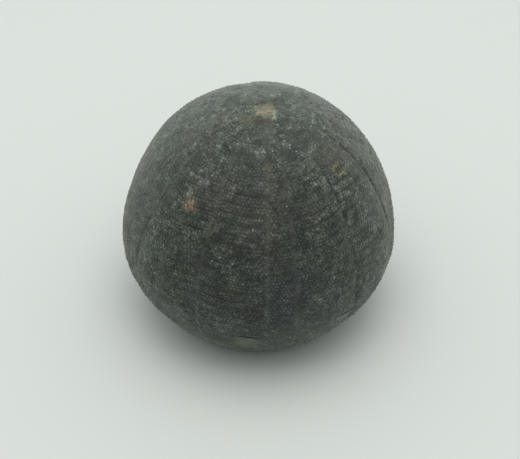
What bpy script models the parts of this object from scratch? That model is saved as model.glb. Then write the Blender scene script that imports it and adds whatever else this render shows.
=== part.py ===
# Fossil sea urchin: the empty shell (the test) of a high-domed urchin, turned to dark stone.
# One closed solid, resting on the flat underside where the mouth was.
# Metres, +Z up, origin on the resting plane under the middle of the test.
# Azimuths are in degrees around Z: 0 is the front (-Y) and 90 is the right (+X).

import math
from collections import namedtuple

import bmesh
import bpy
from mathutils import Vector

# Main form
TEST_WIDTH = 0.0600             # across the widest ring
CROWN_RISE = 0.0342             # widest ring to apex
BASE_DROP = 0.0180              # widest ring to the resting plane
CROWN_FULLNESS = 2.06           # exponent of the upper outline; 2 is an ellipse
UNDERSIDE_DROP = 0.0248         # depth the lower outline would reach if it were not cut level
UNDERSIDE_FULLNESS = 1.78       # exponent of the lower outline
BASE_EDGE_ROUNDING = 0.0016     # height over which the flank rolls onto the resting plane
SEAT_RADIUS = 0.0158            # outer edge of the level ring that the test rests on
APEX_SHIFT_X = 0.0014           # the apex stands a little off the middle
APEX_SHIFT_Y = -0.0002

# Fivefold plan: five narrow bands (ambulacra) and five wide ones between them
SECTORS = 5
FIRST_AMBULACRUM = 8.5          # azimuth of the narrow band that faces the front
PORE_LINE_OFFSET = 5.9          # each pore line from the middle of its narrow band, degrees
PENTAGON_RISE = 0.00012         # the narrow bands stand a little proud of the wide ones

# Grooves and steps
PORE_GROOVE_DEPTH = 0.00024
SUTURE_GROOVE_DEPTH = 0.00034
PLATE_JOINT_DEPTH = 0.00016     # between one ring of plates and the next
OPEN_SUTURE = 1                 # the suture that has opened, counted to the right from the front
OPEN_SUTURE_EXTRA_DEPTH = 0.00020
STEPPED_SUTURE = 3              # the suture at the back that slipped before it set
STEP_HEIGHT = 0.00032
STEP_REACH = 16.0               # degrees over which the slipped side recovers

# Apical plug: a round patch of pale matrix, a little sunk, in the opening at the top
PLUG_RADIUS = 0.0023
PLUG_RIM_RADIUS = 0.0028
PLUG_DEPTH = 0.00030

# Mouth hollow, filled with matrix to just above the resting plane
MOUTH_RADIUS = 0.0058
MOUTH_FLOOR_RADIUS = 0.0042
MOUTH_DEPTH = 0.0014

# Uneven growth and crushing: azimuth, height over the resting plane, reach, rise
LUMPS = {
    "left flank flat": (-100.0, 0.0340, 0.009, -0.00020),
    "left shoulder": (-124.0, 0.0400, 0.010, 0.00038),
    "widest on the left": (-87.0, 0.0200, 0.009, 0.00022),
    "back of the crown": (-174.0, 0.0460, 0.009, 0.00040),
    "back right hollow": (150.0, 0.0450, 0.009, -0.00020),
    "low right bulge": (50.0, 0.0080, 0.009, 0.00015),
    "front right foot": (22.0, 0.0055, 0.008, 0.00036),
    "front left foot": (-24.0, 0.0055, 0.008, 0.00022),
}

# Mesh
PLATE_ROWS = 29                 # rings of plates between the plug and the resting plane
OUTLINE_STEPS = 1500            # samples of the outline before it is divided evenly
GROOVE_HALF_WIDTH = 1.15        # of a pore line or a suture, degrees
PLAIN_COLUMNS = (0.0, 14.5, 24.5)   # columns without a groove, degrees from the middle of a band
EVEN_COLUMNS_RADIUS = 0.0060    # inside this radius the columns spread evenly again

STONE_COLOUR = (0.078, 0.090, 0.074, 1.0)
STONE_ROUGHNESS = 0.78

# A ring of the mesh: its size and place, how deep its plate joint is, and how much relief it takes
Ring = namedtuple("Ring", "radius height joint freedom")


def clear_scene():
    for item in list(bpy.data.objects):
        bpy.data.objects.remove(item, do_unlink=True)


def smooth_step(low, high, value):
    share = min(max((value - low) / (high - low), 0.0), 1.0)
    return share * share * (3.0 - 2.0 * share)


def signed_offset(azimuth, centre):
    """Degrees from the centre, between -180 and 180."""
    return (azimuth - centre + 180.0) % 360.0 - 180.0


def level_off(height):
    """Height over the resting plane, rolled onto the plane over the base edge's rounding."""
    if height > BASE_EDGE_ROUNDING:
        return height
    if height < -BASE_EDGE_ROUNDING:
        return 0.0
    return (height + BASE_EDGE_ROUNDING) ** 2 / (4.0 * BASE_EDGE_ROUNDING)


def outline_at(angle):
    """Radius and height of the plain outline, for an angle of 0 at the apex and pi below."""
    along = abs(math.sin(angle))
    up = math.cos(angle)
    if up >= 0.0:
        radius = 0.5 * TEST_WIDTH * along ** (2.0 / CROWN_FULLNESS)
        height = BASE_DROP + CROWN_RISE * up ** (2.0 / CROWN_FULLNESS)
    else:
        radius = 0.5 * TEST_WIDTH * along ** (2.0 / UNDERSIDE_FULLNESS)
        height = BASE_DROP - UNDERSIDE_DROP * (-up) ** (2.0 / UNDERSIDE_FULLNESS)
    return radius, level_off(height)


def flank_outline():
    """(arc length, radius, height) from the apex to the outer edge of the level ring."""
    samples = []
    arc = 0.0
    last = outline_at(0.0)
    for step in range(OUTLINE_STEPS + 1):
        point = outline_at(math.pi * step / OUTLINE_STEPS)
        if point[1] <= 0.0 and point[0] < SEAT_RADIUS:
            break
        arc += math.dist(point, last)
        samples.append((arc, *point))
        last = point
    return samples


def outline_at_arc(samples, arc):
    """Radius and height at one arc length from the apex."""
    for low, high in zip(samples, samples[1:]):
        if high[0] >= arc:
            share = (arc - low[0]) / (high[0] - low[0])
            return low[1] + share * (high[1] - low[1]), low[2] + share * (high[2] - low[2])
    return samples[-1][1:]


def plug_rings(samples):
    rings = []
    for arc in (0.0, 0.5 * PLUG_RADIUS, PLUG_RADIUS):
        radius, height = outline_at_arc(samples, arc)
        rings.append(Ring(radius, height - PLUG_DEPTH, 0.0, 0.0))
    radius, height = outline_at_arc(samples, PLUG_RIM_RADIUS)
    rings.append(Ring(radius, height, 0.0, 0.0))
    return rings


def plate_rings(samples):
    """Two rings to a plate: one on its joint and one on its middle."""
    rings = []
    flank = samples[-1][0] - PLUG_RIM_RADIUS
    for half_plate in range(1, 2 * PLATE_ROWS):
        arc = PLUG_RIM_RADIUS + flank * half_plate / (2 * PLATE_ROWS)
        radius, height = outline_at_arc(samples, arc)
        joint = PLATE_JOINT_DEPTH if half_plate % 2 == 0 else 0.0
        freedom = smooth_step(PLUG_RIM_RADIUS, EVEN_COLUMNS_RADIUS, radius)
        freedom *= smooth_step(0.0, 2.0 * BASE_EDGE_ROUNDING, height)
        rings.append(Ring(radius, height, joint, freedom))
    return rings


def base_rings():
    """The level ring and the filled mouth, which take no relief."""
    middle = 0.5 * (SEAT_RADIUS + MOUTH_RADIUS)
    rings = [Ring(radius, 0.0, 0.0, 0.0) for radius in (SEAT_RADIUS, middle, MOUTH_RADIUS)]
    for radius in (MOUTH_FLOOR_RADIUS, 0.5 * MOUTH_FLOOR_RADIUS, 0.0):
        rings.append(Ring(radius, MOUTH_DEPTH, 0.0, 0.0))
    return rings


def outward_directions(rings):
    """Outward (radial, vertical) direction of the outline at each ring."""
    directions = []
    for index in range(len(rings)):
        before = rings[max(index - 1, 0)]
        after = rings[min(index + 1, len(rings) - 1)]
        along = Vector((after.radius - before.radius, after.height - before.height)).normalized()
        directions.append((-along.y, along.x))
    return directions


def column_azimuths():
    """Azimuths of the mesh's columns: three on every groove and a few plain ones between."""
    span = 360.0 / SECTORS
    offsets = set()
    for line in (PORE_LINE_OFFSET, -PORE_LINE_OFFSET, 0.5 * span):
        for shift in (-GROOVE_HALF_WIDTH, 0.0, GROOVE_HALF_WIDTH):
            offsets.add((line + shift) % span)
    for plain in PLAIN_COLUMNS:
        offsets.add(plain)
        offsets.add(-plain % span)
    return [FIRST_AMBULACRUM + span * sector + offset
            for sector in range(SECTORS) for offset in sorted(offsets)]


def groove(offset):
    """1 in the middle of a groove and 0 from its edges on."""
    return max(0.0, 1.0 - abs(offset) / GROOVE_HALF_WIDTH)


def fivefold_relief(azimuth):
    """Height of the bands, pore lines and sutures over the plain outline."""
    span = 360.0 / SECTORS
    offset = (azimuth - FIRST_AMBULACRUM + 0.5 * span) % span - 0.5 * span
    relief = PENTAGON_RISE * math.cos(math.radians(SECTORS * offset))
    relief -= PORE_GROOVE_DEPTH * groove(abs(offset) - PORE_LINE_OFFSET)
    relief -= SUTURE_GROOVE_DEPTH * groove(abs(offset) - 0.5 * span)
    open_suture = FIRST_AMBULACRUM + span * (OPEN_SUTURE - 0.5)
    relief -= OPEN_SUTURE_EXTRA_DEPTH * groove(signed_offset(azimuth, open_suture))
    past_step = signed_offset(azimuth, FIRST_AMBULACRUM + span * (STEPPED_SUTURE - 0.5))
    if 0.0 < past_step < STEP_REACH:
        relief -= STEP_HEIGHT * (1.0 - past_step / STEP_REACH)
    return relief


def place(azimuth, radius, height):
    """A point of the outline swung to its azimuth, with the apex drawn off the middle."""
    turn = math.radians(azimuth)
    lean = (max(0.0, height - BASE_DROP) / CROWN_RISE) ** 2
    return Vector((radius * math.sin(turn) + APEX_SHIFT_X * lean,
                   -radius * math.cos(turn) + APEX_SHIFT_Y * lean,
                   height))


def lump_places(samples):
    """(point on the outline, reach, rise) of every lump."""
    places = []
    for azimuth, height, reach, rise in LUMPS.values():
        nearest = min(samples, key=lambda sample: abs(sample[2] - height))
        places.append((place(azimuth, nearest[1], height), reach, rise))
    return places


def lump_relief(point, places):
    return sum(rise * math.exp(-((point - centre).length / reach) ** 2)
               for centre, reach, rise in places)


def shape_test(shell, rings, azimuths, lumps):
    """Move the vertices of a unit sphere, ring by ring and column by column, to the test."""
    directions = outward_directions(rings)
    last_ring = len(rings) - 1
    columns = len(azimuths)
    for vertex in shell.verts:
        index = round(last_ring * math.acos(max(-1.0, min(1.0, vertex.co.z))) / math.pi)
        column = round(columns * math.atan2(vertex.co.x, -vertex.co.y) / (2.0 * math.pi)) % columns
        ring = rings[index]
        even = FIRST_AMBULACRUM + 360.0 * column / columns
        spread = smooth_step(PLUG_RIM_RADIUS, EVEN_COLUMNS_RADIUS, ring.radius)
        azimuth = even + spread * (azimuths[column] - even)
        point = place(azimuth, ring.radius, ring.height)
        relief = fivefold_relief(azimuth) - ring.joint + lump_relief(point, lumps)
        radial, vertical = directions[index]
        turn = math.radians(azimuth)
        outward = Vector((radial * math.sin(turn), -radial * math.cos(turn), vertical))
        vertex.co = point + outward * (relief * ring.freedom)


def centre_on_origin(shell):
    for axis in (0, 1):
        places = [vertex.co[axis] for vertex in shell.verts]
        middle = 0.5 * (min(places) + max(places))
        for vertex in shell.verts:
            vertex.co[axis] -= middle


def build_test(collection):
    samples = flank_outline()
    rings = plug_rings(samples) + plate_rings(samples) + base_rings()
    azimuths = column_azimuths()
    shell = bmesh.new()
    bmesh.ops.create_uvsphere(shell, u_segments=len(azimuths), v_segments=len(rings) - 1, radius=1.0)
    shape_test(shell, rings, azimuths, lump_places(samples))
    centre_on_origin(shell)
    mesh = bpy.data.meshes.new("sea_urchin_test")
    shell.to_mesh(mesh)
    shell.free()
    mesh.shade_smooth()
    mesh.materials.append(fossil_stone())
    collection.objects.link(bpy.data.objects.new("sea_urchin_test", mesh))


def fossil_stone():
    material = bpy.data.materials.new("fossil_stone")
    material.use_nodes = True
    shader = material.node_tree.nodes["Principled BSDF"]
    shader.inputs["Base Color"].default_value = STONE_COLOUR
    shader.inputs["Roughness"].default_value = STONE_ROUGHNESS
    shader.inputs["Metallic"].default_value = 0.0
    return material


def main():
    clear_scene()
    collection = bpy.data.collections.new("fossil_sea_urchin")
    bpy.context.scene.collection.children.link(collection)
    build_test(collection)


main()
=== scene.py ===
import math

import bpy
import numpy as np
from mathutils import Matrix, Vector, noise
from mathutils.geometry import delaunay_2d_cdt


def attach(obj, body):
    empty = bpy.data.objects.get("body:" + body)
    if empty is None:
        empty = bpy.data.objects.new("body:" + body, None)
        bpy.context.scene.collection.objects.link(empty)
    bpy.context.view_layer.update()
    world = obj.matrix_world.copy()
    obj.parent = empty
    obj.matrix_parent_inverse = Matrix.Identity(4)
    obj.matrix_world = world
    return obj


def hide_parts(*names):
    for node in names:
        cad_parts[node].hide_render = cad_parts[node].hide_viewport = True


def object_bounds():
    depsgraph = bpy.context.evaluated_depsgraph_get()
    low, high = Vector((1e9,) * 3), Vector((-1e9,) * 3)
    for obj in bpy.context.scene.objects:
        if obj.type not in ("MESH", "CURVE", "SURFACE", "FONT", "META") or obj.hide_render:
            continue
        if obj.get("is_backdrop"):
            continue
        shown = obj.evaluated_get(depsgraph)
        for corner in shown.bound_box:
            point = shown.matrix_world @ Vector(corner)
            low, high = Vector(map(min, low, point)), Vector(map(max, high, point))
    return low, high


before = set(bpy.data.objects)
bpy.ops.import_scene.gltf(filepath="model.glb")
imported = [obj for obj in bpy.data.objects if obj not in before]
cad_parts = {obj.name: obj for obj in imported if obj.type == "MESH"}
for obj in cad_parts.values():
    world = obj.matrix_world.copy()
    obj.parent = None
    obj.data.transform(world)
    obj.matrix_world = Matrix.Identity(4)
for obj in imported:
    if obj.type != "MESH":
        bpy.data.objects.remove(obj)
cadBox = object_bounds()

# Azimuths are degrees round Z, 0 at the front (-Y) and 90 at the right (+X). Lengths are metres.
# The test is walked from the apex down: "along" is the distance from the apex over the surface.
# Colours are screen values from 0 to 255.

camera = {
    "elevation": 42.0,
    "distance": 0.450,
    "lens": 139.9,
    "sensor": 36.0,
    "aimHeight": 0.018,
    "aimRight": 0.00036,        # from the middle of the test
    "aimUp": 0.00022,
}

studio = {
    "skyColour": (0.915, 1.0, 0.955),
    "skyStrength": 0.75,
    "backGlow": 2.40,           # the wall behind is this much brighter, low down
    "backFade": (0.0, 0.9),     # from the sides to the back, as the depth of the view direction
    "glowHeight": 0.42,         # where the glow ends, as the rise of the view direction
    "frontDim": 1.0,            # the room in front is darker by this share, low down
    "frontFade": (-0.6, 0.1),
    "frontDimFade": (0.28, 0.56),
    "topSize": 0.50,
    "topPlace": (0.0, 0.0, 0.60),
    "topAim": (0.0, 0.0, 0.02),
    "topPower": 1.30,
    "topColour": (1.0, 1.0, 0.955),
}

floorLook = {
    "half": 4.0,
    "colour": (222, 222, 221),
    "roughness": 0.55,
}


def screenColour(red, green, blue):
    def linear(value):
        share = value / 255.0
        return share / 12.92 if share <= 0.04045 else ((share + 0.055) / 1.055) ** 2.4
    return (linear(red), linear(green), linear(blue), 1.0)


def connect(tree, socket, value):
    if isinstance(value, bpy.types.NodeSocket):
        tree.links.new(value, socket)
    else:
        socket.default_value = value


def addNode(tree, kind, values=None, **settings):
    node = tree.nodes.new("ShaderNode" + kind)
    for name, setting in settings.items():
        setattr(node, name, setting)
    for name, value in (values or {}).items():
        connect(tree, node.inputs[name], value)
    return node


def maths(tree, operation, *values):
    return addNode(tree, "Math", dict(enumerate(values)), operation=operation).outputs["Value"]


def product(tree, first, *others):
    for other in others:
        first = maths(tree, "MULTIPLY", first, other)
    return first


def mapRange(tree, value, fromLow, fromHigh, toLow, toHigh, smooth=True):
    node = addNode(tree, "MapRange", {"Value": value, "From Min": fromLow, "From Max": fromHigh,
                                      "To Min": toLow, "To Max": toHigh},
                   interpolation_type="SMOOTHSTEP" if smooth else "LINEAR")
    return node.outputs["Result"]


def mixColours(tree, share, first, second):
    node = addNode(tree, "Mix", {"Factor": share, "A": first, "B": second}, data_type="RGBA")
    return node.outputs["Result"]


def addObject(name, data):
    thing = bpy.data.objects.new(name, data)
    bpy.context.scene.collection.objects.link(thing)
    return thing


def aimAt(thing, place, target):
    thing.location = place
    thing.rotation_mode = "QUATERNION"
    thing.rotation_quaternion = (target - place).to_track_quat("-Z", "Y")


def addCamera():
    rise = math.radians(camera["elevation"])
    back = Vector((0.0, -math.cos(rise), math.sin(rise)))
    up = Vector((0.0, math.sin(rise), math.cos(rise)))
    target = Vector((camera["aimRight"], 0.0, camera["aimHeight"])) + up * camera["aimUp"]
    lens = bpy.data.cameras.new("studioCamera")
    lens.lens = camera["lens"]
    lens.sensor_width = camera["sensor"]
    holder = addObject("studioCamera", lens)
    aimAt(holder, target + back * camera["distance"], target)
    bpy.context.scene.camera = holder


def addLights():
    world = bpy.data.worlds.new("studioSky")
    world.use_nodes = True
    tree = world.node_tree
    sky = tree.nodes["Background"]
    sky.inputs["Color"].default_value = (*studio["skyColour"], 1.0)
    place = addNode(tree, "TexCoord").outputs["Generated"]
    direction = addNode(tree, "SeparateXYZ", {"Vector": place}).outputs
    behind = mapRange(tree, direction["Y"], *studio["backFade"], 0.0, studio["backGlow"])
    low = mapRange(tree, direction["Z"], 0.0, studio["glowHeight"], 1.0, 0.0)
    inFront = mapRange(tree, direction["Y"], *studio["frontFade"], studio["frontDim"], 0.0)
    nearFloor = mapRange(tree, direction["Z"], *studio["frontDimFade"], 1.0, 0.0)
    wall = maths(tree, "SUBTRACT", 1.0, product(tree, inFront, nearFloor))
    glow = maths(tree, "MULTIPLY_ADD", behind, low, product(tree, wall, studio["skyStrength"]))
    tree.links.new(glow, sky.inputs["Strength"])
    bpy.context.scene.world = world
    light = bpy.data.lights.new("topSoftbox", "AREA")
    light.shape = "SQUARE"
    light.size = studio["topSize"]
    light.energy = studio["topPower"]
    light.color = studio["topColour"]
    aimAt(addObject("topSoftbox", light), Vector(studio["topPlace"]), Vector(studio["topAim"]))


def addFloor():
    half = floorLook["half"]
    mesh = bpy.data.meshes.new("paleFloor")
    mesh.from_pydata([(-half, -half, 0), (half, -half, 0), (half, half, 0), (-half, half, 0)], [],
                     [(0, 1, 2, 3)])
    floor = addObject("paleFloor", mesh)
    material = bpy.data.materials.new("paleFloor")
    material.use_nodes = True
    shader = material.node_tree.nodes["Principled BSDF"]
    shader.inputs["Base Color"].default_value = screenColour(*floorLook["colour"])
    shader.inputs["Roughness"].default_value = floorLook["roughness"]
    mesh.materials.append(material)
    floor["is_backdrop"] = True


addCamera()
addLights()
addFloor()
bpy.context.scene.view_settings.view_transform = "Standard"
print("camera, light and floor are up")

form = {
    "width": 0.0600,            # across the widest ring
    "crownRise": 0.0342,        # widest ring to apex
    "baseDrop": 0.0180,         # widest ring to the floor
    "crownFullness": 2.06,      # exponents of the outline, 2 is an ellipse
    "undersideDrop": 0.0248,
    "undersideFullness": 1.78,
    "edgeRounding": 0.0016,
    "seatRadius": 0.0158,
    "apexShift": (0.0014, -0.0002),
    "pentagonRise": 0.00012,
    "stepHeight": 0.00032,      # the drop past the suture at the back
    "stepReach": 16.0,
    "mouthRadius": 0.0058,
    "mouthFloorRadius": 0.0042,
    "mouthDepth": 0.0014,
    "mouthEnd": 0.0004,         # the mesh closes on a fan inside this radius
    "mouthFan": 8,
    "mouthSpacing": 1.2,        # round the rings of its points, in grains of the plug
    "reliefRadius": 0.0060,     # the relief is whole from here, and gone at the plug's rim
    "reliefReach": 0.0300,      # it ends this far past the widest ring
    "samples": 6000,
    "mouthSamples": 600,
}

bands = {                       # azimuth of each narrow band, its pore lines either side, looks
    "front": (9.7, 6.2, 6.3, "palePores", "palePores"),
    "right": (80.5, 6.4, 3.4, "deepPores", "palePores"),
    "backRight": (152.5, 6.2, 6.2, "darkPores", "darkPores"),
    "backLeft": (224.0, 6.2, 6.2, "palePores", "deepPores"),
    "left": (294.5, 6.5, 6.5, "darkPores", "darkPores"),
}

lumps = {                       # azimuth, height over the floor, reach, rise
    "leftFlankFlat": (-100.0, 0.034, 0.009, -0.0002),
    "leftShoulder": (-124.0, 0.04, 0.01, 0.00038),
    "widestOnTheLeft": (-87.0, 0.02, 0.009, 0.00022),
    "backOfTheCrown": (-174.0, 0.046, 0.009, 0.0004),
    "backRightHollow": (150.0, 0.045, 0.009, -0.0002),
    "lowRightBulge": (50.0, 0.008, 0.009, 0.00015),
    "frontRightFoot": (22.0, 0.003, 0.008, 0.00018),
    "frontLeftFoot": (-24.0, 0.003, 0.009, 0.0006),
    "frontFoot": (0.0, 0.002, 0.007, 0.00018),
}

grooves = {                     # of seams: columns of points, half width, depth, room beside it
    "palePores": ((0,), 0.00015, 0.00004, -0.00008),
    "darkPores": ((-1, 0, 1), 0.00024, 0.00015, 0.00002),
    "deepPores": ((-1, 0, 1), 0.00036, 0.00020, 0.00006),
    "suture": ((0,), 0.00014, 0.00004, -0.00008),
    "openSuture": ((-1, 0, 1), 0.00030, 0.00014, 0.00000),
}

marks = {                       # of seams: strength of the pale and the dark one, how far aside the pale one lies, how wide each spreads, how evenly they run. The dark one is painted shade in the groove; the pale one is a bare pale zone where it lies on the seam, and a painted highlight on the groove's lit wall where it lies aside
                                # pale one lies, how wide each spreads, how evenly they run
    "palePores": (0.30, 0.0, 0.0, 0.00038, 0.00038, 0.0),
    "darkPores": (0.42, 0.75, -0.00055, 0.00045, 0.00038, 0.2),
    "deepPores": (0.42, 0.78, -0.00160, 0.00100, 0.00050, 0.5),
    "suture": (0.36, 0.0, 0.0, 0.00038, 0.00038, 0.1),
    "openSuture": (0.42, 0.85, -0.00100, 0.00070, 0.00042, 0.3),
}

seams = {                       # each cloud has a depth, a size and a seed
    "open": "front",            # the open suture is the one right of this band
    "step": 0.00070,            # between points down a seam
    "jitter": 0.00003,
    "fromRim": 0.00160,         # the points keep this far from the plug's rim
    "fromMouth": 0.00020,
    "mostTop": 0.4,             # they're rubbed up to this much, against the top of a knob
    "patchy": {"mean": 0.55, "least": 0.0, "most": 1.3, "clouds": ((3.0, 0.0045, 21.0),)},
    "fadeIn": (0.0100, 0.0190),
    "fadeOut": (0.0520, 0.0640),
}

knobs = {
    "across": 0.00078,          # spacing along a row
    "plate": 0.00216,           # three rows to a plate
    "rows": (0.0, 0.00071, 0.00142),
    "arch": 0.08,               # rows climb towards the sutures
    "ringsUpTo": 0.0118,        # nearer the apex the rows run round as whole rings
    "ringTurn": 7.0,            # each turned this much from the one above
    "fromRim": 0.00040,         # the rows keep this far from the plug's rim
    "fromMouth": 0.00060,
    "slack": 0.00010,           # single knobs may stand this much nearer
    "jitter": 0.00009,
    "plateShift": 0.00005,      # each plate's rows sit a little up or down
    "footRadius": 0.00030,
    "footCorners": 5,
    "sizeSpread": 0.08,
    "sizeLimits": (0.75, 1.2),
    "height": 0.00017,
    "heightSpread": 0.22,
    "heightLimits": (0.4, 1.4),
    "fresh": {"mean": 1.0, "least": 0.35, "most": 1.25,  # what the wear has left of them
              "clouds": ((0.9, 0.0042, 3.0), (0.5, 0.0016, 5.0))},
    "crownFresh": 0.64,         # the same round the apex
    "crownFade": (0.011, 0.021),
    "leastRubbed": 0.3,
    "barring": 0.75,            # a plate's last row is duller by this, the rest brighter by half
    "mostTone": 0.98,           # plain knobs stay under the tones of the pale ones
    "pitShare": 0.22,           # of the corners between knobs
    "pitDepth": 0.85,           # as deep and dark as a joint by this much
    "lowFade": (0.030, 0.048),  # down here more of them are pitted, and the knobs taller
    "lowPits": 0.26,
    "lowHeight": 0.45,
    "lowRubbing": 0.30,
    "undersideFade": (0.0570, 0.0650),  # here the knobs grow larger and sparser
    "undersideScale": 1.45,
}

joints = {                      # the lines between plates
    "depth": 0.00007,
    "width": 0.00030,
    "toRow": 0.00037,           # from a joint down to the first row of its plate
    "least": 0.25,              # strength beside the bands and round the apex
    "shareFade": (0.25, 0.60),  # where it grows, as a share of the way to the suture
    "crownFade": (0.014, 0.024),
    "patchy": {"mean": 0.8, "least": 0.2, "most": 1.0, "clouds": ((1.2, 0.0070, 9.0),)},
}

wornPlaces = {                  # azimuth, along, reach, share of the knobs' height that is gone
    "frontBand": (8.0, 0.036, 0.008, 0.6),
    "frontBandHigh": (8.0, 0.023, 0.005, 0.4),
    "frontBandFoot": (9.0, 0.053, 0.006, 0.2),
    "leftBand": (-63.0, 0.043, 0.007, 0.5),
    "rightBand": (77.0, 0.033, 0.007, 0.35),
    "leftShoulder": (-62.0, 0.019, 0.008, 0.45),
    "leftSuture": (-27.5, 0.04, 0.0022, 0.5),
    "lowRight": (34.0, 0.052, 0.006, 0.15),
}

paleKnobs = {                   # single knobs that are crystal white or nearly: azimuth, along
    "bright": ((27.5, 0.0089), (30.0, 0.0104), (29.0, 0.0112), (32.5, 0.0122), (-22.0, 0.0087),
               (-33.0, 0.0105), (-37.0, 0.0117), (8.0, 0.011), (-2.0, 0.0113), (70.5, 0.0196),
               (-38.4, 0.02), (-36.0, 0.0189), (-21.0, 0.0361), (-45.0, 0.0249),
               (-48.0, 0.0385), (-52.0, 0.0307), (50.5, 0.0437)),
    "faint": ((25.0, 0.01), (-73.0, 0.0125), (14.0, 0.0235), (-4.0, 0.028), (-12.0, 0.0358),
              (44.0, 0.035), (10.0, 0.0445), (2.0, 0.048), (0.5, 0.0463), (-22.8, 0.047),
              (-47.0, 0.038), (-33.5, 0.0492), (-33.0, 0.0512), (47.0, 0.024), (4.0, 0.0568),
              (6.0, 0.0574), (40.0, 0.0538), (73.0, 0.03), (90.0, 0.0302)),
    "faintTone": 0.9992,
}

plug = {
    "radius": 0.0025,
    "rimRadius": 0.0030,
    "depth": 0.00036,
    "frontShare": 0.15,         # of that depth at the front, where it lies nearly level
    "rough": 0.00007,
    "grain": 0.00036,           # spacing of its points, and the next two are shares of it
    "rowSpacing": 0.87,
    "jitter": 0.1,
    "cells": 13,                # from the middle to the edge of the grid of points
}

ledges = {                      # azimuth, along, half width, length, depth, depth of its slot
    "footChip": (-4.9, 0.0554, 0.002, 0.0085, 0.0002, 0.0011),
    "rightCrease": (42.0, 0.0547, 0.0026, 0.0026, 0.00012, 0.0009),
}

openings = {                    # open stretches: azimuth, from, to, half width, dark, depth; the dark is painted shade inside the open gap
    "rightSutureHigh": (46.0, 0.0246, 0.0274, 0.0005, 0.85, 0.00026),
    "rightSutureMiddle": (45.7, 0.0288, 0.0312, 0.00044, 0.8, 0.00022),
    "rightSutureLow": (45.8, 0.045, 0.052, 0.0004, 0.75, 0.00018),
    "rightBand": (74.1, 0.0255, 0.041, 0.00075, 0.65, 0.00012),
    "leftBand": (-59.0, 0.0335, 0.049, 0.0008, 0.6, 0.00012),
}

breaks = {                      # of openings, and of the edge, slot and floor of ledges
    "openFade": 0.0010,         # an opening begins and ends over this much either way
    "wander": ((0.00013, 0.00062, 0.0), (0.00007, 0.00023, 1.0)),  # height, length, phase
    "slotMiddle": 0.00040,      # how far under the edge the slot lies
    "slotHalf": 0.00030,
    "headHalf": 0.00008,        # the drop at the edge takes this much either way
    "sideFade": (0.72, 1.0),    # where its sides rise, in shares of the half width
    "tailFade": (0.3, 1.0),     # where its floor rises, in shares of the length
    "bare": (-0.03, 0.9),       # no knobs stand there, in shares of the length
    "rows": ((-0.00012, 0.0), (0.00008, -1.0), (0.00024, -1.0), (0.0004, -1.0), (0.00056, -1.0),
             (0.00076, -1.0), (0.001, -0.5)),  # points under the edge: how far, and seam tone; the dark tone is a painted shadow under the ledge's edge
    "rowStep": 0.00040,
    "rowJitter": 0.00002,
    "rowFade": 0.6,             # how much of that painted shadow is gone at the ends
    "floorFrom": 0.00140,       # points on its floor, from here
    "floorTo": 0.85,            # to this share of its length
    "floorHalf": 0.97,
    "floorStep": 0.00050,
    "floorShift": 0.00030,
    "floorJitter": 0.00006,
}

sways = {                       # where a seam bends aside: azimuth, spread, from, to, degrees
    "leftBand": (-62.0, 9.0, 0.028, 0.044, -3.0),
    "rightBand": (78.0, 8.0, 0.036, 0.048, 2.0),
    "frontSuture": (45.0, 9.0, 0.04, 0.052, -1.0),
    "leftSuture": (-28.0, 9.0, 0.012, 0.03, 1.5),
}

bandAngles = np.array([band[0] for band in bands.values()])
bandGaps = (np.roll(bandAngles, -1) - bandAngles) % 360.0
sutureAngles = bandAngles + 0.5 * bandGaps
sutureKinds = ["openSuture" if name == seams["open"] else "suture" for name in bands]


def smoothStep(low, high, value):
    share = np.clip((value - low) / (high - low), 0.0, 1.0)
    return share * share * (3.0 - 2.0 * share)


def atLeast(least, share):  # the share, squeezed into the room between least and 1
    return least + (1.0 - least) * share


def patchyShare(places, look):  # cloudy noises round a mean, kept between two limits
    share = np.full(len(places), look["mean"])
    for depth, size, seed in look["clouds"]:
        shift = Vector((seed, 0.0, 0.0))
        share += depth * np.array([noise.noise(Vector(place) / size + shift) for place in places])
    return share.clip(look["least"], look["most"])


def levelOff(height):
    rounding = form["edgeRounding"]
    rolled = (height + rounding) ** 2 / (4.0 * rounding)
    return np.where(height > rounding, height, np.where(height < -rounding, 0.0, rolled))


def meridian():  # along, radius and height of the outline, from the apex to the middle of the mouth
    angle = np.linspace(0.0, math.pi, form["samples"])
    aside = np.abs(np.sin(angle))
    up = np.cos(angle)
    above = up >= 0.0
    fullness = np.where(above, form["crownFullness"], form["undersideFullness"])
    reach = np.where(above, form["crownRise"], form["undersideDrop"])
    radius = 0.5 * form["width"] * aside ** (2.0 / fullness)
    height = levelOff(form["baseDrop"] + np.sign(up) * reach * np.abs(up) ** (2.0 / fullness))
    flank = ~((height <= 0.0) & (radius < form["seatRadius"]))
    radius, height = radius[flank], height[flank]
    inward = np.linspace(radius[-1], form["mouthEnd"], form["mouthSamples"])[1:]
    wall = smoothStep(form["mouthFloorRadius"], form["mouthRadius"], inward)
    radius = np.concatenate([radius, inward])
    height = np.concatenate([height, form["mouthDepth"] * (1.0 - wall)])
    along = np.concatenate([[0.0], np.cumsum(np.hypot(np.diff(radius), np.diff(height)))])
    return along, radius, height


alongTable, radiusTable, heightTable = meridian()
outwardTable = -np.gradient(heightTable, alongTable)
upwardTable = np.gradient(radiusTable, alongTable)
lastAlong = alongTable[-1]
mouthAlong = lastAlong - form["mouthRadius"]
widestAlong = alongTable[np.argmax(radiusTable)]
meanRadius = 0.5 * (radiusTable[1:] + radiusTable[:-1])
conformTable = np.concatenate([[0.0], np.cumsum(np.diff(alongTable) / meanRadius)])
flatUnit = 0.0001               # this far from the apex is 1 in the plane that joins the points
conformTable -= np.interp(flatUnit, alongTable, conformTable)


def radiusAt(along):
    return np.interp(along, alongTable, radiusTable)


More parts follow.
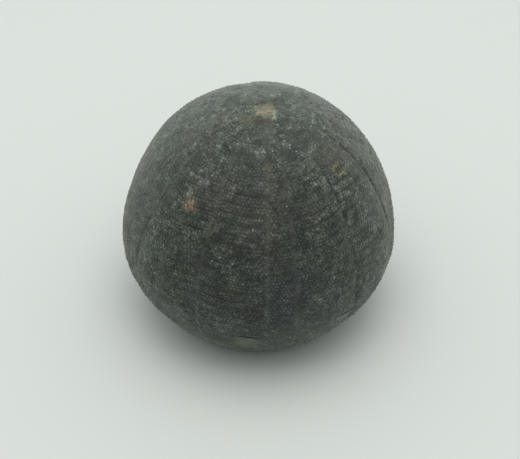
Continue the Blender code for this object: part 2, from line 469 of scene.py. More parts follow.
def onOutline(azimuth, along):  # places and outward directions of points on the plain outline
    turn = np.radians(azimuth)
    radius = radiusAt(along)
    height = np.interp(along, alongTable, heightTable)
    lean = (np.maximum(0.0, height - form["baseDrop"]) / form["crownRise"]) ** 2
    places = np.stack([radius * np.sin(turn) + form["apexShift"][0] * lean,
                       -radius * np.cos(turn) + form["apexShift"][1] * lean, height], 1)
    outward = np.interp(along, alongTable, outwardTable)
    upward = np.interp(along, alongTable, upwardTable)
    size = np.hypot(outward, upward)
    normals = np.stack([outward * np.sin(turn), -outward * np.cos(turn), upward], 1) / size[:, None]
    return places, normals


def fromLine(azimuth, centre):
    return (azimuth - centre + 180.0) % 360.0 - 180.0


def awayFrom(line, azimuth, along):
    return np.radians(fromLine(azimuth, line)) * radiusAt(along)


def nearSpot(places, azimuth, along, reach):  # 1 at a spot on the outline, 0 far from it
    spot = onOutline(np.array([azimuth]), np.array([along]))[0][0]
    return np.exp(-(np.linalg.norm(places - spot, axis=1) / reach) ** 2)


def swayed(azimuth, along):  # the azimuth that a point really has
    moved = np.array(azimuth, dtype=float)
    for middle, spread, start, end, turn in sways.values():
        nearness = np.exp(-(fromLine(azimuth, middle) / spread) ** 2)
        moved += turn * nearness * smoothStep(start, end, along)
    return moved


def bandShare(azimuth):  # 0 in the middle of a narrow band, 1 at the next suture
    ahead = (azimuth[:, None] - bandAngles) % 360.0
    band = ahead.argmin(1)
    share = ahead[np.arange(len(azimuth)), band] / bandGaps[band]
    return 2.0 * np.minimum(share, 1.0 - share)


def seamLines():  # azimuth and kind of the fifteen seams
    lines = []
    for middle, left, right, leftLook, rightLook in bands.values():
        lines += [(middle - left, leftLook), (middle + right, rightLook)]
    return lines + list(zip(sutureAngles, sutureKinds))


def ledgeHead(start, across):  # the broken edge of a ledge wanders a little on its way across
    return start + sum(height * np.sin(across / length + phase)
                       for height, length, phase in breaks["wander"])


def ledgeShape(azimuth, along):  # how deep the ledges are cut, and where they carry no knobs
    sunk = np.zeros(len(azimuth))
    bare = np.zeros(len(azimuth), dtype=bool)
    for middle, start, half, length, depth, slot in ledges.values():
        across = awayFrom(middle, azimuth, along)
        aside = np.abs(across) / half
        under = along - ledgeHead(start, across)
        share = under / length
        floor = smoothStep(-breaks["headHalf"], breaks["headHalf"], under)
        floor *= 1.0 - smoothStep(*breaks["sideFade"], aside)
        floor *= 1.0 - smoothStep(*breaks["tailFade"], share)
        groove = np.exp(-((under - breaks["slotMiddle"]) / breaks["slotHalf"]) ** 2)
        sunk += depth * floor + slot * (1.0 - aside.clip(0.0, 1.0) ** 2) * groove
        bare |= (aside < 1.0) & (share > breaks["bare"][0]) & (share < breaks["bare"][1])
    return sunk, bare


# the openings' dark share is painted shade inside the gap
def openShare(azimuth, along):  # how far each opening reaches each point, from 0 to 1
    fade = breaks["openFade"]
    for line, start, end, half, paintedShade, depth in openings.values():
        run = smoothStep(start - fade, start + fade, along)
        run *= 1.0 - smoothStep(end - fade, end + fade, along)
        yield run * np.exp(-(awayFrom(line, azimuth, along) / half) ** 2), paintedShade, depth


def lumpRelief(places):
    relief = np.zeros(len(places))
    for azimuth, height, reach, rise in lumps.values():
        along = alongTable[np.argmin(np.abs(heightTable - height))]
        relief += rise * nearSpot(places, azimuth, along, reach)
    return relief


def wornShare(places):  # what is left of the knobs
    left = np.ones(len(places))
    for azimuth, along, reach, share in wornPlaces.values():
        left *= 1.0 - share * nearSpot(places, azimuth, along, reach)
    return left


def seamMarks(azimuth, along):  # how pale, over 0, or how dark, under 0, each point is painted along the seams: bare pale zones and painted highlights on groove walls, and painted shade in grooves and openings
    patchy = patchyShare(onOutline(azimuth, along)[0], seams["patchy"])
    left = np.zeros(len(azimuth))
    for line, kind in seamLines():
        pale, paintedShade, aside, paleSpread, darkSpread, even = marks[kind]
        away = awayFrom(line, azimuth, along)
        mark = pale * np.exp(-((away - aside) / paleSpread) ** 2)
        mark -= paintedShade * np.exp(-(away / darkSpread) ** 2)
        left += mark * atLeast(even, patchy)
    for share, paintedShade, _ in openShare(azimuth, along):
        left = left * (1.0 - share) - paintedShade * share
    left *= smoothStep(*seams["fadeIn"], along)
    return left * (1.0 - smoothStep(*seams["fadeOut"], along))


def testRelief(azimuth, along, places):
    relief = form["pentagonRise"] * np.cos(np.pi * bandShare(azimuth))
    fade = smoothStep(*seams["fadeIn"], along)
    for line, kind in seamLines():
        _, half, depth, _ = grooves[kind]
        away = np.abs(awayFrom(line, azimuth, along))
        relief -= depth * np.maximum(0.0, 1.0 - away / half) * fade
    past = fromLine(azimuth, sutureAngles[2])
    step = np.where((past > 0.0) & (past < form["stepReach"]), 1.0 - past / form["stepReach"], 0.0)
    relief -= form["stepHeight"] * step * fade + ledgeShape(azimuth, along)[0]
    for share, _, depth in openShare(azimuth, along):
        relief -= depth * share
    crown = smoothStep(plug["rimRadius"], form["reliefRadius"], radiusAt(along))
    flank = smoothStep(0.0, 2.0 * form["edgeRounding"], places[:, 2])
    seated = along > widestAlong + form["reliefReach"]
    return (relief * flank + lumpRelief(places)) * crown * ~seated


pointMarks = ("knobTop", "knobTone", "plateJoint", "seamToneShadeAndHighlight")
pointSets = []                  # azimuth, along, lift, and those four


def addPoints(azimuth, along, lift=0.0, top=0.3, tone=0.5, joint=0.0, seam=0.0):
    azimuth = np.asarray(azimuth, dtype=float)
    spread = [np.broadcast_to(np.asarray(value, dtype=float), azimuth.shape)
              for value in (azimuth, along, lift, top, tone, joint, seam)]
    pointSets.append(np.stack(spread, 1))


def knobScale(along):
    return 1.0 + (knobs["undersideScale"] - 1.0) * smoothStep(*knobs["undersideFade"], along)


def rowPlaces():  # along and phase in its plate of each row of knobs
    along = plug["rimRadius"] + knobs["fromRim"]
    last = mouthAlong - knobs["fromMouth"]
    rows = []
    while True:
        scale = float(knobScale(along))
        for phase in knobs["rows"]:
            if along + phase * scale > last:
                return rows
            rows.append((along + phase * scale, phase))
        along += knobs["plate"] * scale


def knobCentres():  # azimuth, along, phase in the plate, share of the way to the suture
    rng = np.random.default_rng(11)
    most = 60                   # more than any row or column has
    slides = rng.uniform(0.0, 1.0, (len(knobs["rows"]) * most, 2 * len(bands)))
    lifts = rng.normal(0.0, knobs["plateShift"], slides.shape)
    steps = np.arange(most)
    centres = []

    def keep(azimuth, along, phase, share):
        count = len(azimuth)
        slide = rng.normal(0.0, knobs["jitter"], (count, 2))
        centres.append(np.stack([azimuth + np.degrees(slide[:, 0] / radiusAt(along)),
                                 along + slide[:, 1], np.full(count, phase), share], 1))

    def room(look, scale):      # from a seam to the nearest centre of a knob
        return (grooves[look][3] + knobs["footRadius"]) * scale

    for row, (start, phase) in enumerate(rowPlaces()):
        scale = float(knobScale(start))
        across = knobs["across"] * scale
        plate = row // len(knobs["rows"])
        radius = float(radiusAt(start))
        if start < knobs["ringsUpTo"]:
            count = int(2.0 * math.pi * radius / across)
            ring = 360.0 * (np.arange(count) + 0.5 * (row % 2)) / count + knobs["ringTurn"] * row
            keep(ring, np.full(count, start), phase, np.zeros(count))
            continue
        for index, (middle, left, right, leftLook, rightLook) in enumerate(bands.values()):
            inner = np.concatenate([-(steps + 0.5)[::-1], steps + 0.5] if row % 2 else
                                   [-steps[:0:-1], steps]) * across
            clear = {-1: room(leftLook, scale), 1: room(rightLook, scale)}
            inner = inner[(inner > clear[-1] - math.radians(left) * radius) &
                          (inner < math.radians(right) * radius - clear[1])]
            keep(middle + np.degrees(inner / radius), np.full(len(inner), start), phase,
                 np.zeros(len(inner)))
            for side, offset, gap in ((1, right, bandGaps[index]), (-1, left, bandGaps[index - 1])):
                column = 2 * index + (side + 1) // 2
                stagger = across * ((0.5 * (row % 2) + slides[plate, column]) % 1.0)
                pore = math.radians(offset) * radius
                width = math.radians(0.5 * gap) * radius - pore
                away = clear[side] + stagger + steps * across
                away = away[away < width - room(sutureKinds[index - (side < 0)], scale)]
                along = start + (0.5 * knobs["plate"] * scale if side < 0 else 0.0)
                along = along + lifts[plate, column] - knobs["arch"] * away ** 2 / width
                keep(middle + side * np.degrees((pore + away) / radius), along, phase, away / width)
    centres = np.concatenate(centres)
    first = plug["rimRadius"] + knobs["fromRim"] - knobs["slack"]
    last = mouthAlong - knobs["fromMouth"] + knobs["slack"]
    centres = centres[(centres[:, 1] > first) & (centres[:, 1] < last)]
    return centres[~ledgeShape(centres[:, 0], centres[:, 1])[1]]


def addKnobs():
    rng = np.random.default_rng(12)
    azimuth, along, phase, share = knobCentres().T
    count = len(azimuth)
    radius = radiusAt(along)
    turned = swayed(azimuth, along)
    places = onOutline(turned, along)[0]
    scale = knobScale(along)
    turn = rng.uniform(0.0, 2.0 * math.pi, count)
    size = scale * rng.normal(1.0, knobs["sizeSpread"], count).clip(*knobs["sizeLimits"])
    tone = rng.uniform(0.0, 1.0, count)
    for level, paleTone in (("bright", 1.0), ("faint", paleKnobs["faintTone"])):
        for spot, down in paleKnobs[level]:
            tone[np.hypot(awayFrom(spot, turned, along), along - down).argmin()] = paleTone
    crown = atLeast(knobs["crownFresh"], smoothStep(*knobs["crownFade"], along))
    low = smoothStep(*knobs["lowFade"], along)
    tall = knobs["height"] * scale * crown * patchyShare(places, knobs["fresh"]) * wornShare(places)
    tall *= rng.normal(1.0, knobs["heightSpread"], count).clip(*knobs["heightLimits"])
    tall *= 1.0 + knobs["lowHeight"] * low * (1.0 - smoothStep(*knobs["undersideFade"], along))
    strength = smoothStep(*joints["shareFade"], share) * smoothStep(*joints["crownFade"], along)
    strength = atLeast(joints["least"], strength * patchyShare(places, joints["patchy"]))
    plate, corners = knobs["plate"], knobs["footCorners"]
    for corner in range(corners):
        angle = turn + 2.0 * math.pi * corner / corners
        across = knobs["footRadius"] * size * np.cos(angle)
        down = knobs["footRadius"] * size * np.sin(angle)
        toJoint = (phase + down / scale + joints["toRow"] + 0.5 * plate) % plate - 0.5 * plate
        joint = strength * np.exp(-(toJoint / joints["width"]) ** 2)
        pitted = rng.uniform(0.0, 1.0, count) < knobs["pitShare"] + knobs["lowPits"] * low
        joint = np.maximum(joint, np.where(pitted, knobs["pitDepth"], 0.0))
        addPoints(azimuth + np.degrees(across / radius), along + down, 0.0, 0.0, tone, joint)
    barred = np.where(phase == knobs["rows"][2], -knobs["barring"], 0.5 * knobs["barring"])
    pale = tone >= paleKnobs["faintTone"]
    tone = np.where(pale, tone, np.clip(tone + strength * barred, 0.0, knobs["mostTone"]))
    rubbed = atLeast(knobs["leastRubbed"], crown) * (1.0 + knobs["lowRubbing"] * low)
    addPoints(azimuth, along, tall, np.where(pale, 1.0, rubbed), tone, 0.0)
    return count


def addSeams():
    rng = np.random.default_rng(13)
    down = np.arange(plug["rimRadius"] + seams["fromRim"], mouthAlong - seams["fromMouth"],
                     seams["step"])
    for line, kind in seamLines():
        columns, half, _, _ = grooves[kind]
        for side in columns:
            along = down + 0.5 * seams["step"] * abs(side)
            along += rng.normal(0.0, seams["jitter"], len(down))
            azimuth = line + np.degrees(side * half / radiusAt(along))
            addPoints(azimuth, along, 0.0, rng.uniform(0.0, seams["mostTop"], len(down)))


def addLedges():
    rng = np.random.default_rng(15)
    for middle, start, half, length, _, _ in ledges.values():
        # the rows under each ledge's edge carry a painted shadow as dark seam tone
        for under, tone in breaks["rows"]:
            across = np.arange(-half, half, breaks["rowStep"])
            along = ledgeHead(start, across) + under
            along += rng.normal(0.0, breaks["rowJitter"], len(across))
            addPoints(middle + np.degrees(across / radiusAt(start)), along,
                      seam=tone * (1.0 - breaks["rowFade"] * (across / half) ** 2))
        step = breaks["floorStep"]
        last = start + breaks["floorTo"] * length
        for down in np.arange(start + breaks["floorFrom"], last, step):
            across = np.arange(-half, half, step) + rng.uniform(0.0, breaks["floorShift"])
            across = across[np.abs(across) < breaks["floorHalf"] * half]
            addPoints(middle + np.degrees(across / radiusAt(down)),
                      ledgeHead(down, across) + rng.normal(0.0, breaks["floorJitter"], len(across)))


def addPlugAndMouth():
    rng = np.random.default_rng(14)
    grain, fan = plug["grain"], form["mouthFan"]
    cells = np.arange(-plug["cells"], plug["cells"] + 1) * grain
    across, deep = np.meshgrid(cells, cells)
    across = (across + 0.5 * grain * (np.arange(len(cells)) % 2)[:, None]).ravel()
    deep = plug["rowSpacing"] * deep.ravel()
    across += rng.normal(0.0, plug["jitter"] * grain, len(across))
    deep += rng.normal(0.0, plug["jitter"] * grain, len(deep))
    away = np.hypot(across, deep)
    inside = away < plug["rimRadius"]
    rough = rng.normal(0.0, plug["rough"], inside.sum())
    addPoints(np.degrees(np.arctan2(across, -deep))[inside], away[inside], rough)
    radius = form["mouthRadius"]
    mouth = form["mouthSamples"] - 1
    while radius > form["mouthEnd"] + 0.5 * grain:
        corners = max(fan, int(2.0 * math.pi * radius / (form["mouthSpacing"] * grain)))
        turn = rng.uniform(0.0, 360.0)
        along = np.interp(-radius, -radiusTable[-mouth:], alongTable[-mouth:])
        addPoints(turn + 360.0 * np.arange(corners) / corners, along)
        radius -= grain
    addPoints(360.0 * np.arange(fan) / fan, lastAlong)


def triangles(azimuth, along):  # joins nearest points, in a plane that keeps the angles
    stretch = np.exp(np.interp(along, alongTable, conformTable))
    turn = np.radians(azimuth)
    flat = [Vector(point) for point in zip(stretch * np.sin(turn), -stretch * np.cos(turn))]
    mergeUnder = 1e-9           # points nearer to each other than this would become one
    _, _, faces, origins, _, _ = delaunay_2d_cdt(flat, [], [], 0, mergeUnder, True)
    source = [origin[0] for origin in origins]
    return [tuple(source[corner] for corner in face) for face in faces]


bakeMap = {                     # in shares of the map's width
    "margin": 0.008,
    "discs": 0.555,             # the radii of both discs together
}


def addBakeMap(mesh, azimuth, along):  # the crown and the underside each lie flat as a disc
    margin = bakeMap["margin"]
    upper = bakeMap["discs"] * widestAlong / lastAlong
    lower = bakeMap["discs"] - upper
    corners = np.empty(len(mesh.loops), dtype=np.int32)
    mesh.loops.foreach_get("vertex_index", corners)
    onCrown = np.repeat(along[corners].reshape(-1, 3).mean(1) < widestAlong, 3)
    distance = np.where(onCrown, upper * along[corners] / widestAlong,
                        lower * (lastAlong - along[corners]) / (lastAlong - widestAlong))
    middle = np.where(onCrown, upper + margin, 1.0 - lower - margin)
    turn = np.radians(azimuth[corners])
    across = np.where(onCrown, np.sin(turn), -np.sin(turn))
    layer = mesh.uv_layers.new(name="OFBake")
    layer.data.foreach_set("uv", np.stack([middle + distance * across,
                                           middle - distance * np.cos(turn)], 1).ravel())


def buildTest():
    knobCount = addKnobs()
    addSeams()
    addLedges()
    addPlugAndMouth()
    points = np.concatenate(pointSets)
    azimuth, along, lift, top, tone, joint, seam = points.T
    turned = swayed(azimuth, along)
    faces = triangles(turned, along)
    places, normals = onOutline(turned, along)
    seam = seam + seamMarks(azimuth, along)
    rise = testRelief(azimuth, along, places) + lift - knobs["height"] - joints["depth"] * joint
    sink = plug["depth"] * (1.0 - smoothStep(plug["radius"], plug["rimRadius"], along))
    sink *= atLeast(plug["frontShare"], 0.5 * (1.0 - np.cos(np.radians(azimuth))))
    places = places + normals * rise[:, None]
    places[:, 2] -= sink * (along < plug["rimRadius"])
    places[:, 2] = np.maximum(places[:, 2], 0.0)
    fan, middle = form["mouthFan"], len(points)
    places = np.concatenate([places, [places[-fan:].mean(0)]])
    faces += [(middle - fan + (corner + 1) % fan, middle - fan + corner, middle)
              for corner in range(fan)]
    boxMiddle = 0.5 * (np.array(cadBox[0]) + np.array(cadBox[1]))
    places[:, :2] += (boxMiddle - 0.5 * (places.min(0) + places.max(0)))[:2]
    mesh = bpy.data.meshes.new("urchinTest")
    mesh.from_pydata(places.tolist(), [], faces)
    mesh.shade_smooth()
    for name, values in zip(pointMarks, (top, tone, joint, seam)):
        layer = mesh.attributes.new(name, "FLOAT", "POINT")
        layer.data.foreach_set("value", np.append(values, 0.0).astype(np.float32))
    addBakeMap(mesh, np.append(turned, 0.0), np.append(along, lastAlong))
    print("test is built:", knobCount, "knobs,", len(mesh.polygons), "triangles")
    return addObject("urchinTest", mesh)


test = buildTest()


stone = {
    "cool": (66, 74, 64),       # the stone's own colours
    "warm": (72, 74, 63),
    "blue": (62, 71, 67),
    "top": (120, 124, 115),     # what the knob tops are rubbed towards
    "topShare": 0.46,
    "warmShare": 0.7,
    "blueShare": 0.5,
    "patchSize": 0.013,         # how wide its drifts of colour are
    "cloudSize": 0.0034,
    "cloudDepth": 0.50,
    "mottleSize": 0.0015,
    "mottleDepth": 0.42,
    "grainSize": 0.00042,
    "grainDepth": 0.50,
    "lift": 0.65,               # these and the dashes brighten by this share of what they darken
    "groundShade": 1.04,        # between the knobs, against the mean
    "topShade": 2.30,           # on the tops of the knobs
    "topFade": (0.0, 0.46),     # from where to where on a knob's height
    "worn": 0.50,               # how much of that contrast is lost where it is most worn
    "wornSize": 0.0045,
    "toneDepth": 0.3,           # how much darker or brighter single knobs are
    "jointShade": 0.18,
    "lowShade": 1.13,           # it brightens this much down between two heights
    "lowFade": (0.010, 0.024),
    "paintedContactShade": 0.32,          # and darkens this much over the last stretch above the floor, as painted contact shade
    "footFade": (0.0006, 0.0022),
    "dashSize": 0.0012,         # short dark dashes that lie level
    "dashFlatness": 3.5,        # they're this many times longer than high
    "dashDepth": 0.44,
    # pale bare seam zones, and painted highlights on the lit walls of grooves
    "paleSeamAndHighlight": (92, 92, 82),
    # painted shade in grooves, open gaps and under ledge edges
    "paintedSeamShade": (24, 27, 24),
    "crystal": (152, 158, 150),
    "crystalShare": 0.0015,     # of the knobs
    "crystalFade": (0.1, 0.6),
    "sheen": 0.27,              # a dusty bloom that brightens the rim
    "sheenRoughness": 0.5,
    "sheenTint": (0.96, 1.0, 0.88, 1.0),
    "rough": 0.62,
    "roughSpread": 0.06,
    "polish": 0.16,             # knob tops are this much smoother
    "raggedSize": 0.0011,       # the edges of patches wander at this scale
    "ragged": 0.0011,
    "grainBump": 0.00003,
    "driftDetail": 2.5,         # the noise of all its clouds
    "driftRoughness": 0.55,
    "driftRange": (0.32, 0.68),
    "spotRange": (0.3, 1.22),   # a patch fades between these shares of its reach
}

patches = {                     # azimuth, along, reach, strength, share of shading hidden, colour
    "greyCrown": (5.0, 0.0066, 0.006, 0.4, 0.0, (82, 89, 81)),
    "greyCrownLeft": (-66.0, 0.012, 0.007, 0.45, 0.0, (86, 94, 84)),
    "greyOverRust": (-48.0, 0.0218, 0.0052, 0.5, 0.0, (88, 95, 86)),
    "paleLeftOfThePlug": (-105.0, 0.0062, 0.0036, 0.5, 0.0, (94, 100, 92)),
    "paleRightOfThePlug": (112.0, 0.0056, 0.0036, 0.45, 0.0, (92, 98, 90)),
    "paleFrontOfTheBand": (50.0, 0.008, 0.0042, 0.45, 0.0, (90, 96, 88)),
    "paleBesideTan": (48.0, 0.0184, 0.0058, 0.8, 0.0, (116, 121, 108)),
    "paleBars": (33.5, 0.0285, 0.0048, 0.65, 0.0, (95, 99, 91)),
    "greyLeft": (-56.0, 0.029, 0.008, 0.35, 0.0, (78, 87, 78)),
    "greyLowFrontLeft": (-18.0, 0.0495, 0.007, 0.65, 0.0, (98, 108, 104)),
    "greyLowFrontRight": (33.0, 0.0515, 0.008, 0.65, 0.0, (96, 106, 102)),
    "paleRightFoot": (66.0, 0.0475, 0.0062, 0.75, 0.0, (116, 126, 116)),
    "warmFront": (-2.0, 0.026, 0.0085, 0.55, 0.2, (75, 72, 64)),
    "warmLeft": (-28.0, 0.023, 0.006, 0.5, 0.1, (72, 72, 63)),
    "blueLow": (14.0, 0.043, 0.008, 0.75, 0.1, (52, 59, 63)),
    "blueLowLeft": (-28.0, 0.047, 0.006, 0.4, 0.1, (58, 66, 67)),
    "oliveLow": (-42.0, 0.05, 0.005, 0.35, 0.1, (73, 79, 67)),
    "darkLeft": (-28.0, 0.0365, 0.004, 0.55, 0.1, (51, 53, 53)),
    "blueFront": (2.0, 0.05, 0.013, 0.45, 0.0, (60, 67, 71)),
    "blueFootRight": (10.0, 0.05, 0.0036, 0.5, 0.1, (59, 64, 73)),
    "paleRightShoulder": (56.0, 0.014, 0.005, 0.5, 0.2, (80, 84, 74)),
    "paleShoulder": (66.0, 0.0125, 0.0055, 0.45, 0.0, (92, 98, 88)),
    "paleFrontRight": (24.0, 0.0224, 0.0036, 0.2, 0.0, (84, 88, 80)),
    "greyUnderTheHeart": (-6.0, 0.0152, 0.004, 0.55, 0.0, (54, 60, 54)),
    "greyBesideTheStreak": (19.0, 0.0158, 0.0046, 0.55, 0.0, (54, 60, 54)),
    "paleRightSide": (60.0, 0.04, 0.0055, 0.45, 0.0, (92, 100, 92)),
    "greyUpLeft": (-80.0, 0.017, 0.007, 0.35, 0.0, (84, 92, 82)),
    "greyRight": (60.0, 0.029, 0.013, 0.5, 0.0, (85, 93, 84)),
    "greyLowRight": (46.0, 0.044, 0.011, 0.45, 0.0, (78, 85, 81)),
    "greyUpRight": (85.0, 0.018, 0.01, 0.4, 0.0, (78, 84, 76)),
    "greyLowLeft": (-54.0, 0.045, 0.01, 0.42, 0.0, (76, 86, 79)),
    "paleRightFlank": (63.0, 0.033, 0.004, 0.45, 0.1, (72, 78, 72)),
    "plugFilling": (150.0, 0.0004, 0.0026, 1.0, 0.85, (124, 114, 93)),
    "plugFillingBack": (178.0, 0.0018, 0.0019, 0.9, 0.85, (120, 114, 95)),
    # painted shade along the back rim of the plug's hollow
    "plugBackRimPaintedShade": (150.0, 0.0037, 0.0008, 0.7, 0.6, (54, 52, 42)),
    "plugRightRimPaintedShade": (118.0, 0.0031, 0.0006, 0.65, 0.6, (58, 56, 46)),
    "plugDarkLeft": (-34.0, 0.0029, 0.0017, 0.9, 0.7, (53, 46, 37)),
    "plugDarkFront": (-8.0, 0.0035, 0.0016, 0.85, 0.6, (55, 48, 39)),
    "plugRedFront": (16.0, 0.0036, 0.0012, 0.6, 0.5, (84, 66, 52)),
    "plugDot": (75.0, 0.0008, 0.0006, 0.8, 0.8, (92, 74, 52)),
    "crumbByThePlug": (52.0, 0.003, 0.0008, 0.8, 0.8, (150, 150, 134)),
    "tanByThePlug": (-56.0, 0.0044, 0.0021, 0.75, 0.4, (98, 95, 76)),
    "greyBelowThePlug": (1.0, 0.007, 0.0022, 0.45, 0.5, (80, 79, 72)),
    "rustHalo": (-41.2, 0.0263, 0.0021, 0.65, 0.3, (104, 84, 64)),
    "rustHaloLeft": (-44.0, 0.026, 0.0013, 0.5, 0.3, (98, 88, 64)),
    "rustRed": (-39.4, 0.027, 0.001, 0.7, 0.4, (122, 80, 62)),
    "rustCore": (-41.2, 0.0264, 0.0012, 0.85, 0.6, (146, 126, 102)),
    "greenUnderRust": (-35.5, 0.0284, 0.0014, 0.5, 0.3, (53, 71, 63)),
    "whiteOverRust": (-44.5, 0.0245, 0.0009, 0.5, 0.5, (112, 116, 110)),
    "crustOverRust": (-38.6, 0.0207, 0.0013, 0.6, 0.3, (122, 119, 116)),
    "crustBesideRust": (-41.0, 0.0222, 0.0018, 0.45, 0.2, (90, 88, 76)),
    "tanOnTheRight": (58.4, 0.0207, 0.0027, 0.7, 0.1, (98, 92, 68)),
    "mauveOnTheRight": (61.0, 0.0172, 0.0032, 0.75, 0.4, (92, 86, 78)),
    "heartMiddle": (-4.0, 0.0121, 0.001, 0.6, 0.8, (90, 93, 87)),
    "heartLeft": (-7.2, 0.0113, 0.0006, 0.85, 0.8, (138, 139, 134)),
    "heartRight": (-0.4, 0.0111, 0.0006, 0.95, 0.8, (144, 145, 140)),
    "heartLeftSide": (-6.6, 0.0124, 0.0005, 0.75, 0.8, (116, 117, 112)),
    "heartRightSide": (-0.8, 0.0122, 0.0005, 0.75, 0.8, (116, 117, 112)),
    "heartTip": (-3.2, 0.0132, 0.0005, 0.8, 0.8, (126, 126, 121)),
    "crumbsOnTheRight": (29.0, 0.0106, 0.0013, 0.35, 0.4, (104, 108, 104)),
    "crumbsOnTheLeft": (-31.0, 0.0102, 0.0011, 0.3, 0.4, (100, 104, 98)),
    "brownStreak": (3.4, 0.0146, 0.0011, 0.7, 0.5, (88, 77, 57)),
    "brownStreakEnd": (3.6, 0.0164, 0.0011, 0.7, 0.5, (86, 76, 56)),
    "wornRight": (10.0, 0.0355, 0.0034, 0.4, 0.2, (75, 73, 65)),
    "mauveSpeck": (30.0, 0.0265, 0.0018, 0.45, 0.1, (81, 75, 69)),
    "blueRight": (41.0, 0.0325, 0.002, 0.5, 0.1, (51, 55, 59)),
    "oliveStreak": (-9.4, 0.0405, 0.003, 0.5, 0.2, (79, 81, 69)),
    "oliveStreakEnd": (-8.5, 0.051, 0.0024, 0.55, 0.2, (76, 80, 66)),
    "paleLowLeft": (-33.0, 0.047, 0.0024, 0.5, 0.2, (77, 81, 73)),
    "darkFront": (13.0, 0.032, 0.0028, 0.6, 0.1, (51, 55, 52)),
    "greenFront": (-6.0, 0.0225, 0.0026, 0.6, 0.1, (56, 65, 58)),
    "tealFront": (-13.0, 0.0275, 0.0026, 0.45, 0.1, (53, 63, 59)),
    "mauveFront": (-27.0, 0.0258, 0.0026, 0.5, 0.1, (63, 57, 55)),
    "darkUpLeft": (-29.0, 0.0194, 0.0024, 0.55, 0.1, (55, 55, 51)),
    "mauveRight": (23.0, 0.0255, 0.0026, 0.5, 0.1, (61, 55, 57)),
    "tealRight": (33.0, 0.0228, 0.0026, 0.45, 0.1, (57, 67, 61)),
    "brownLow": (0.5, 0.0362, 0.0022, 0.4, 0.2, (75, 69, 62)),
    "blueMiddle": (0.8, 0.0345, 0.0034, 0.45, 0.0, (51, 57, 55)),
    "paleMiddle": (4.0, 0.0266, 0.0014, 0.5, 0.3, (90, 90, 80)),
    "blueFootLeft": (-15.0, 0.0485, 0.0024, 0.45, 0.1, (59, 63, 71)),
    "tealUpLeft": (-66.0, 0.0262, 0.0034, 0.45, 0.1, (59, 71, 63)),
    "paleByTheCrown": (-93.0, 0.01, 0.003, 0.45, 0.2, (80, 82, 70)),
    "paleBesideTheCrown": (66.0, 0.0075, 0.0024, 0.4, 0.2, (76, 79, 72)),
    "oliveFoot": (-6.6, 0.0594, 0.0044, 0.8, 0.7, (72, 79, 62)),
}


def newGroup(name, takes):  # a node group with these named sockets that gives a mask
    group = bpy.data.node_groups.new(name, "ShaderNodeTree")
    for label, kind in takes.items():
        group.interface.new_socket(label, in_out="INPUT", socket_type="NodeSocket" + kind)
    group.interface.new_socket("Mask", in_out="OUTPUT", socket_type="NodeSocketFloat")
    gives = group.nodes.new("NodeGroupOutput").inputs["Mask"]
    return group, group.nodes.new("NodeGroupInput").outputs, gives


def useGroup(tree, group, values):
    return addNode(tree, "Group", values, node_tree=group).outputs["Mask"]


def makeDrift():  # soft cloudy noise of a chosen size, from 0 to 1
    group, takes, mask = newGroup("drift", {"Place": "Vector", "Size": "Float", "Seed": "Float"})
    scale = maths(group, "DIVIDE", 1.0, takes["Size"])
    cloud = addNode(group, "TexNoise", {
        "Vector": takes["Place"], "Scale": scale, "Detail": stone["driftDetail"],
        "Roughness": stone["driftRoughness"], "W": takes["Seed"]}, noise_dimensions="4D")
    cloud = mapRange(group, cloud.outputs["Fac"], *stone["driftRange"], 0.0, 1.0)
    group.links.new(cloud, mask)
    return group


def makeSpot():  # 1 inside a reach round a centre, 0 outside it
    group, takes, mask = newGroup("spot", {"Place": "Vector", "Centre": "Vector", "Reach": "Float"})
    away = addNode(group, "VectorMath", {0: takes["Place"], 1: takes["Centre"]},
                   operation="DISTANCE").outputs["Value"]
    inner, outer = (product(group, takes["Reach"], share) for share in stone["spotRange"])
    group.links.new(mapRange(group, away, inner, outer, 1.0, 0.0), mask)
    return group


def surfacePlace(azimuth, along):
    spot, along = np.array([azimuth]), np.array([along])
    places, normals = onOutline(spot, along)
    return tuple((places + normals * testRelief(spot, along, places)[:, None])[0])


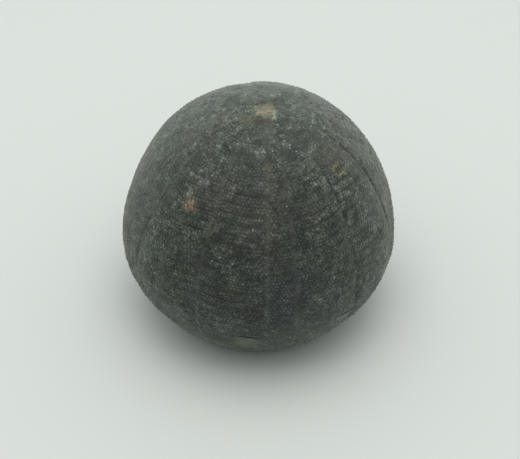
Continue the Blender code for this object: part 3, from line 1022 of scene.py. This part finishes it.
def makeStone():
    material = bpy.data.materials.new("fossilStone")
    material.use_nodes = True
    tree = material.node_tree
    shader = tree.nodes["Principled BSDF"]
    shader.inputs["Sheen Weight"].default_value = stone["sheen"]
    shader.inputs["Sheen Roughness"].default_value = stone["sheenRoughness"]
    shader.inputs["Sheen Tint"].default_value = stone["sheenTint"]
    drift, spot = makeDrift(), makeSpot()
    place = addNode(tree, "TexCoord").outputs["Object"]
    top, tone, joint, seam = (addNode(tree, "Attribute", attribute_name=name).outputs["Fac"]
                              for name in pointMarks)

    def drifting(size, seed, where=place):
        return useGroup(tree, drift, {"Place": where, "Size": stone[size], "Seed": seed})

    colour = screenColour(*stone["cool"])
    for name, seed in (("warm", 1.0), ("blue", 5.0)):
        share = product(tree, drifting("patchSize", seed), stone[name + "Share"])
        colour = mixColours(tree, share, colour, screenColour(*stone[name]))
    wander = addNode(tree, "TexNoise", {"Vector": place, "Scale": 1.0 / stone["raggedSize"]})
    wander = addNode(tree, "VectorMath", {0: wander.outputs["Color"], 1: (0.5, 0.5, 0.5)},
                     operation="SUBTRACT")
    swing = 2.0 * stone["ragged"]
    ragged = addNode(tree, "VectorMath", {0: wander.outputs["Vector"], 1: (swing,) * 3, 2: place},
                     operation="MULTIPLY_ADD").outputs["Vector"]
    hidden = 0.0
    for azimuth, along, reach, strength, hides, tint in patches.values():
        mask = useGroup(tree, spot, {"Place": ragged, "Centre": surfacePlace(azimuth, along),
                                     "Reach": reach})
        colour = mixColours(tree, product(tree, mask, strength), colour, screenColour(*tint))
        hidden = maths(tree, "MAXIMUM", product(tree, mask, hides), hidden)
    bare = maths(tree, "SUBTRACT", 1.0, hidden)
    fresh = mapRange(tree, drifting("wornSize", 7.0), 0.0, 1.0, 1.0, 1.0 - stone["worn"], False)
    grain = drifting("grainSize", 3.0)
    level = addNode(tree, "VectorMath", {0: place, 1: (1.0, 1.0, stone["dashFlatness"])},
                    operation="MULTIPLY").outputs["Vector"]
    height = addNode(tree, "SeparateXYZ", {"Vector": place}).outputs["Z"]
    shade = mapRange(tree, top, *stone["topFade"], stone["groundShade"], stone["topShade"])
    shade = maths(tree, "MULTIPLY_ADD", maths(tree, "SUBTRACT", shade, 1.0), fresh, 1.0)
    # the last factor darkens the foot as painted contact shade
    shade = product(
        tree, shade,
        mapRange(tree, tone, 0.0, 1.0, 1.0 - stone["toneDepth"], 1.0 + stone["toneDepth"], False),
        mapRange(tree, joint, 0.0, 1.0, 1.0, stone["jointShade"], False),
        mapRange(tree, height, *stone["lowFade"], stone["lowShade"], 1.0),
        mapRange(tree, height, *stone["footFade"], stone["paintedContactShade"], 1.0))
    for name, mask in (("cloud", drifting("cloudSize", 2.0)), ("grain", grain),
                       ("mottle", drifting("mottleSize", 6.0)),
                       ("dash", drifting("dashSize", 4.0, level))):
        depth = stone[name + "Depth"]
        shade = product(tree, shade, mapRange(tree, mask, 0.0, 1.0, 1.0 - depth,
                                              1.0 + stone["lift"] * depth, False))
    shade = maths(tree, "MULTIPLY_ADD", maths(tree, "SUBTRACT", shade, 1.0), bare, 1.0)
    colour = addNode(tree, "VectorMath", {0: colour, "Scale": shade},
                     operation="SCALE").outputs["Vector"]
    crystal = mapRange(tree, tone, 1.0 - stone["crystalShare"], 1.0 - 0.5 * stone["crystalShare"],
                       0.0, 1.0)
    whole = mapRange(tree, top, *stone["crystalFade"], 0.0, 1.0)
    # the seam tone mixes in pale seam zones with painted highlights, and painted seam shade
    for name, share in (
            ("top", product(tree, top, top, stone["topShare"], tone, fresh, bare)),
            ("paleSeamAndHighlight", maths(tree, "MAXIMUM", seam, 0.0)),
            ("paintedSeamShade", maths(tree, "MAXIMUM", product(tree, seam, -1.0), 0.0)),
            ("crystal", product(tree, crystal, whole))):
        colour = mixColours(tree, share, colour, screenColour(*stone[name]))
    tree.links.new(colour, shader.inputs["Base Color"])
    rough = mapRange(tree, grain, 0.0, 1.0, stone["rough"] - stone["roughSpread"],
                     stone["rough"] + stone["roughSpread"])
    tree.links.new(maths(tree, "ADD", product(tree, top, -stone["polish"]), rough),
                   shader.inputs["Roughness"])
    bump = addNode(tree, "Bump", {"Height": grain, "Distance": stone["grainBump"]})
    tree.links.new(bump.outputs["Normal"], shader.inputs["Normal"])
    return material


test.data.materials.append(makeStone())
print("stone is finished:", len(patches), "patches")
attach(test, "root")
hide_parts("sea_urchin_test")

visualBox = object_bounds()
for name, box in (("cad box", cadBox), ("visual box", visualBox)):
    print(name, [tuple(round(x * 1000, 2) for x in corner) for corner in box])
